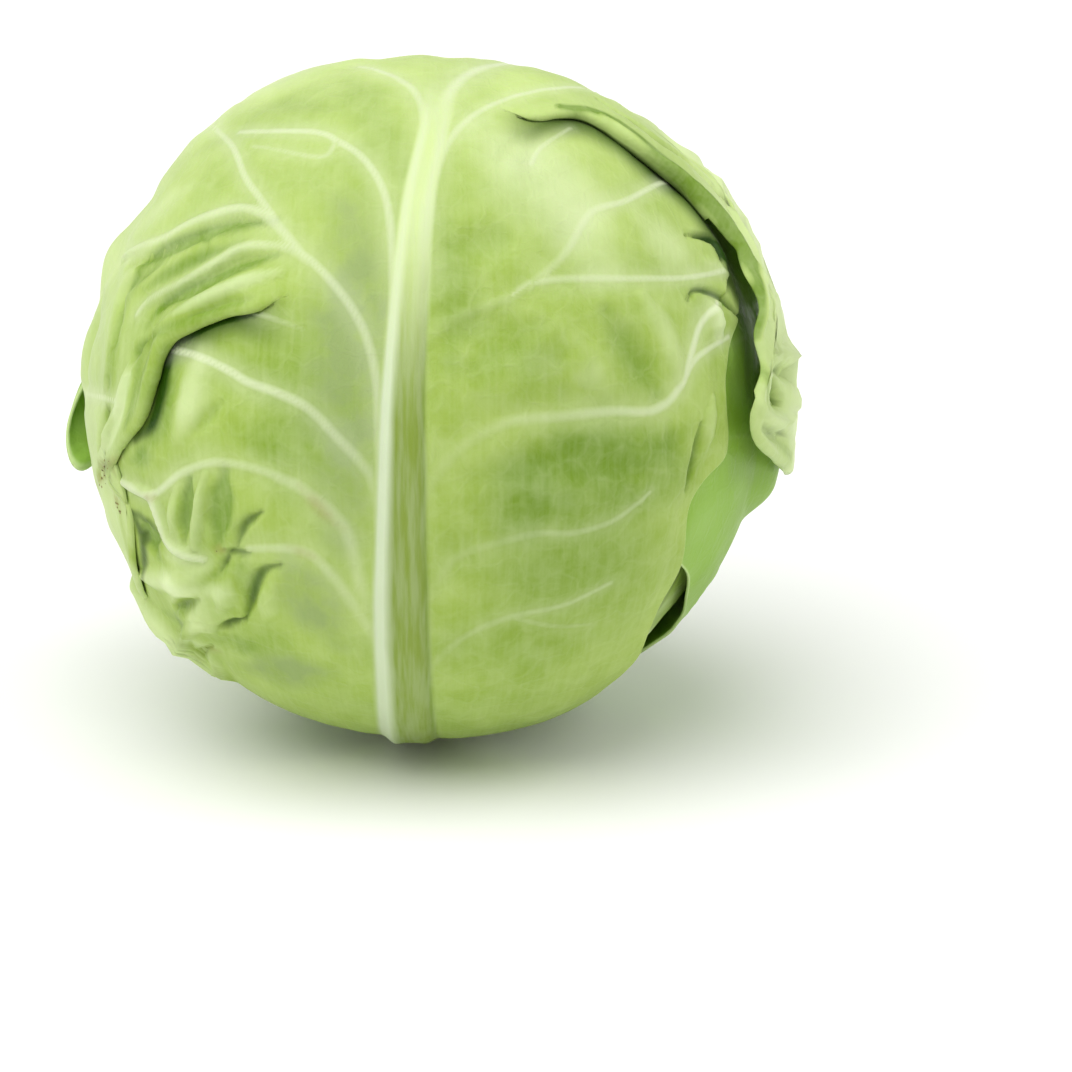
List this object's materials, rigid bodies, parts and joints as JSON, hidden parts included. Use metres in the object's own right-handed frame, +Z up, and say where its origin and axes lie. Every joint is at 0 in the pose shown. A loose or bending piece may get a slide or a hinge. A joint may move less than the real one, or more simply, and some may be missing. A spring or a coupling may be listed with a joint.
{
  "type": "cabbage head",
  "caption": "Round cabbage head: wrapper leaves with ribs, folded pleats and a loose margin flap around a packed heart, on a short cut stalk.",
  "frame": {"origin": "centre of the stalk's flat cut face", "axes": "+Z up from the cut stalk through the head, -Y towards the leaf with the upright midrib"},
  "size_m": [0.1895, 0.1807, 0.1802],
  "materials": {
    "leaf_front": "waxy",
    "leaf_wrap": "waxy",
    "leaf_inner": "waxy",
    "stalk_flesh": "matte"
  },
  "bodies": {
    "root": {"leaf_1": "leaf_front", "leaf_2": "leaf_wrap", "leaf_3": "leaf_wrap", "leaf_4": "leaf_wrap", "leaf_5": "leaf_inner", "heart": "leaf_inner", "stalk": "stalk_flesh"}
  },
  "joints": []
}
